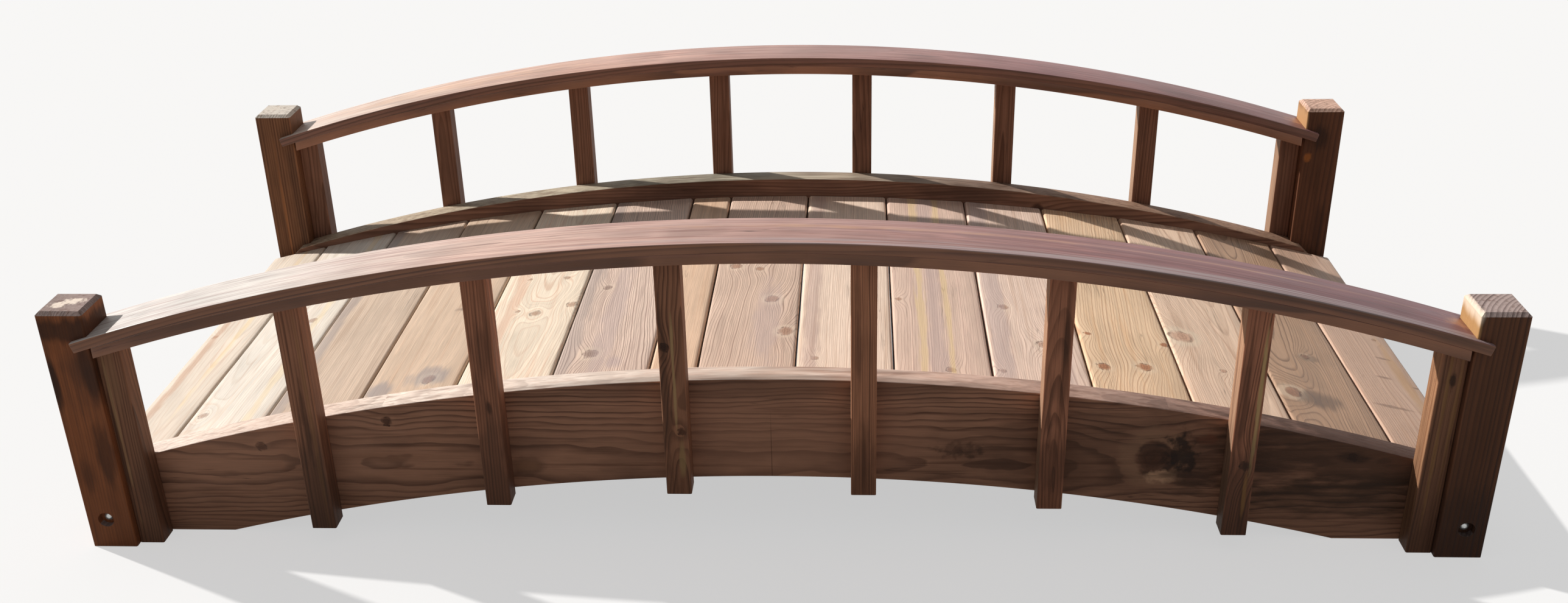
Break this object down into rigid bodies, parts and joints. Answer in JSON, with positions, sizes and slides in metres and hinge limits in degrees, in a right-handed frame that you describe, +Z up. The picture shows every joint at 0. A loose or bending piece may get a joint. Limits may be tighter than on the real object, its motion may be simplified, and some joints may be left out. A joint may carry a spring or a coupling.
{
  "type": "moon bridge",
  "caption": "Low arched timber garden footbridge: a cambered plank deck between curved side beams, with curved handrails on square balusters between chamfered corner posts.",
  "frame": {"origin": "on the ground, below the middle of the deck", "axes": "+X along the walk to the right, +Y across to the back, +Z up"},
  "size_m": [2.7316, 1.252, 0.6643],
  "materials": {
    "beam_wood": "oiled, dark brown with wavy grain",
    "deck_wood": "bare, pale and dry",
    "post_wood": "oiled, dark reddish brown",
    "baluster_wood": "oiled, dark brown",
    "rail_wood": "oiled, mauve brown on top",
    "bolt_metal": "galvanised, dull"
  },
  "bodies": {
    "root": {"front_beam": "beam_wood", "back_beam": "beam_wood", "front_ledger": "beam_wood", "back_ledger": "beam_wood", "deck_plank_01": "deck_wood", "deck_plank_02": "deck_wood", "deck_plank_03": "deck_wood", "deck_plank_04": "deck_wood", "deck_plank_05": "deck_wood", "deck_plank_06": "deck_wood", "deck_plank_07": "deck_wood", "deck_plank_08": "deck_wood", "deck_plank_09": "deck_wood", "deck_plank_10": "deck_wood", "deck_plank_11": "deck_wood", "deck_plank_12": "deck_wood", "deck_plank_13": "deck_wood", "deck_plank_14": "deck_wood", "deck_plank_15": "deck_wood", "front_left_post": "post_wood", "front_right_post": "post_wood", "back_left_post": "post_wood", "back_right_post": "post_wood", "front_baluster_1": "baluster_wood", "front_baluster_2": "baluster_wood", "front_baluster_3": "baluster_wood", "front_baluster_4": "baluster_wood", "front_baluster_5": "baluster_wood", "front_baluster_6": "baluster_wood", "front_baluster_7": "baluster_wood", "front_baluster_8": "baluster_wood", "back_baluster_1": "baluster_wood", "back_baluster_2": "baluster_wood", "back_baluster_3": "baluster_wood", "back_baluster_4": "baluster_wood", "back_baluster_5": "baluster_wood", "back_baluster_6": "baluster_wood", "back_baluster_7": "baluster_wood", "back_baluster_8": "baluster_wood", "front_rail_lower_layer": "rail_wood", "back_rail_lower_layer": "rail_wood", "front_rail_cap": "rail_wood", "back_rail_cap": "rail_wood", "post_bolts": "bolt_metal"}
  },
  "joints": []
}
